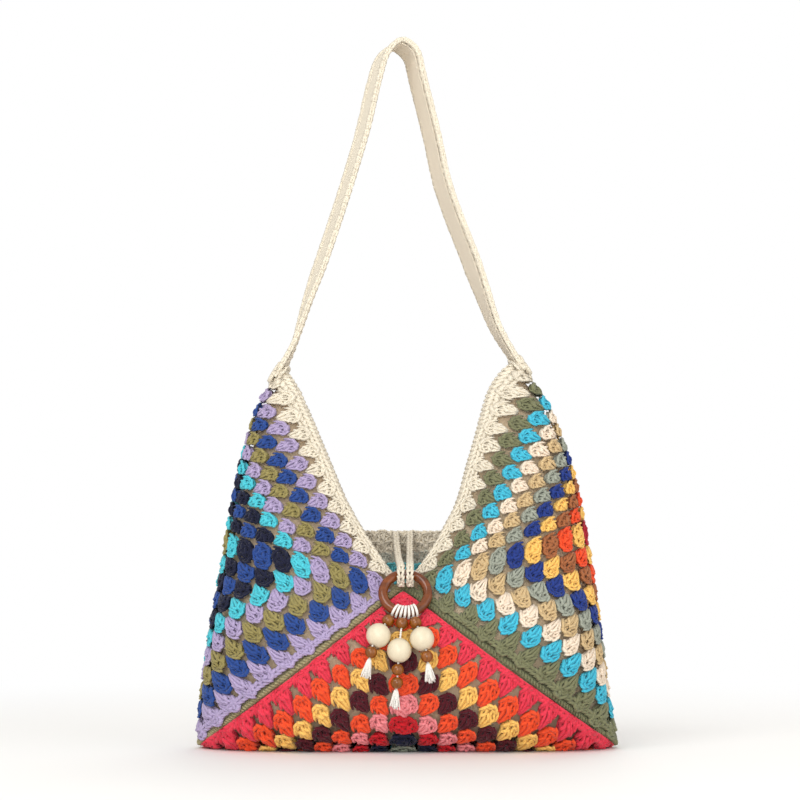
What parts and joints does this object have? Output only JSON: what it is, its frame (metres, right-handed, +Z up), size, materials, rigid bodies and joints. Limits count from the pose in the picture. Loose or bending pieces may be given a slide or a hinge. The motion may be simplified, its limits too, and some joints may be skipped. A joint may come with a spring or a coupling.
{
  "type": "crochet granny-square shoulder bag",
  "caption": "Slouchy shoulder bag of crocheted granny squares in coloured rounds, with a V mouth, a narrow lined strap, and a wooden ring with bead strings on two cords at the mouth.",
  "frame": {"origin": "middle of the sole, on the surface that the bag stands on", "axes": "+Z up towards the strap, -Y out of the front with the ring, +X to the right when seen from the front"},
  "size_m": [0.3596, 0.164, 0.6157],
  "materials": {
    "yarn_left_square": "matte cotton",
    "yarn_right_square": "matte cotton",
    "yarn_bottom_square": "matte cotton",
    "yarn_cream": "matte cotton",
    "yarn_insert": "matte cotton",
    "yarn_khaki": "matte cotton",
    "yarn_sage": "matte cotton",
    "lining_cloth": "plain woven cotton",
    "strap_lining_cloth": "plain woven cotton",
    "white_cotton": "thick twisted cotton",
    "ring_wood": "glossy varnish",
    "brown_bead_wood": "glossy varnish",
    "cream_bead_wood": "satin lacquer"
  },
  "bodies": {
    "bag": {"left_square": "yarn_left_square", "right_square": "yarn_right_square", "bottom_square": "yarn_bottom_square", "mouth_edging": "yarn_cream", "back_insert": "yarn_insert", "seam_left": "yarn_khaki", "seam_right": "yarn_sage", "bag_lining": "lining_cloth", "strap": "yarn_cream", "strap_lining": "strap_lining_cloth", "closure_cord_left": "yarn_cream", "closure_cord_right": "yarn_cream"},
    "ring": {"wooden_ring": "ring_wood", "ring_wrap": "white_cotton"},
    "dangle_left": {"dangle_cord_left": "white_cotton", "top_bead_left": "brown_bead_wood", "cream_bead_left": "cream_bead_wood", "lower_bead_left": "brown_bead_wood", "tassel_left": "white_cotton"},
    "dangle_middle": {"dangle_cord_middle": "white_cotton", "top_bead_middle": "brown_bead_wood", "cream_bead_middle": "cream_bead_wood", "lower_bead_middle": "brown_bead_wood", "lowest_bead_middle": "brown_bead_wood", "tassel_middle": "white_cotton"},
    "dangle_right": {"dangle_cord_right": "white_cotton", "top_bead_right": "brown_bead_wood", "cream_bead_right": "cream_bead_wood", "lower_bead_right": "brown_bead_wood", "tassel_right": "white_cotton"}
  },
  "joints": [
    {"name": "ring_swing", "type": "hinge", "parent": "bag", "child": "ring", "pos_m": [-0.002, -0.0608, 0.14684], "axis": [-1, 0, 0], "range_deg": [0, 100]},
    {"name": "dangle_left_swing", "type": "hinge", "parent": "ring", "child": "dangle_left", "pos_m": [-0.002, -0.0802, 0.1158], "axis": [-1, 0, 0], "range_deg": [0, 60]},
    {"name": "dangle_middle_swing", "type": "hinge", "parent": "ring", "child": "dangle_middle", "pos_m": [-0.002, -0.0802, 0.1158], "axis": [-1, 0, 0], "range_deg": [0, 60]},
    {"name": "dangle_right_swing", "type": "hinge", "parent": "ring", "child": "dangle_right", "pos_m": [-0.002, -0.0802, 0.1158], "axis": [-1, 0, 0], "range_deg": [0, 60]}
  ]
}
